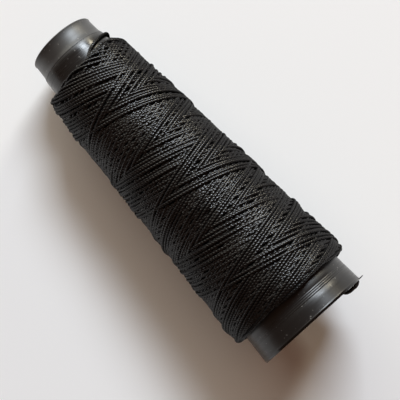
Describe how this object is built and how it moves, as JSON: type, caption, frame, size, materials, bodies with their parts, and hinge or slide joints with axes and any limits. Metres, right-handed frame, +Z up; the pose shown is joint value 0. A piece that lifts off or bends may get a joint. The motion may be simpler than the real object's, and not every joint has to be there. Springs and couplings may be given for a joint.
{
  "type": "spool of thread",
  "caption": "Tapered tube, open at both ends, cross-wound with thick twisted thread; it lies on its flank and unwinds over the narrow end.",
  "frame": {"origin": "on the table, under the middle of the tube's length, as the spool lies on its flank", "axes": "+Z is up from the table; the axis lies in the XZ plane and rises towards +X, where the wide end is, by the taper of the package"},
  "size_m": [0.1144, 0.0416, 0.0411],
  "materials": {
    "tube_plastic": "glossy moulded plastic, nearly black",
    "thread": "black twisted polyester thread with a waxy sheen"
  },
  "bodies": {
    "root": {"cone_tube": "tube_plastic", "inner_layers": "thread", "outer_winding": "thread", "start_tail": "thread"}
  },
  "joints": []
}
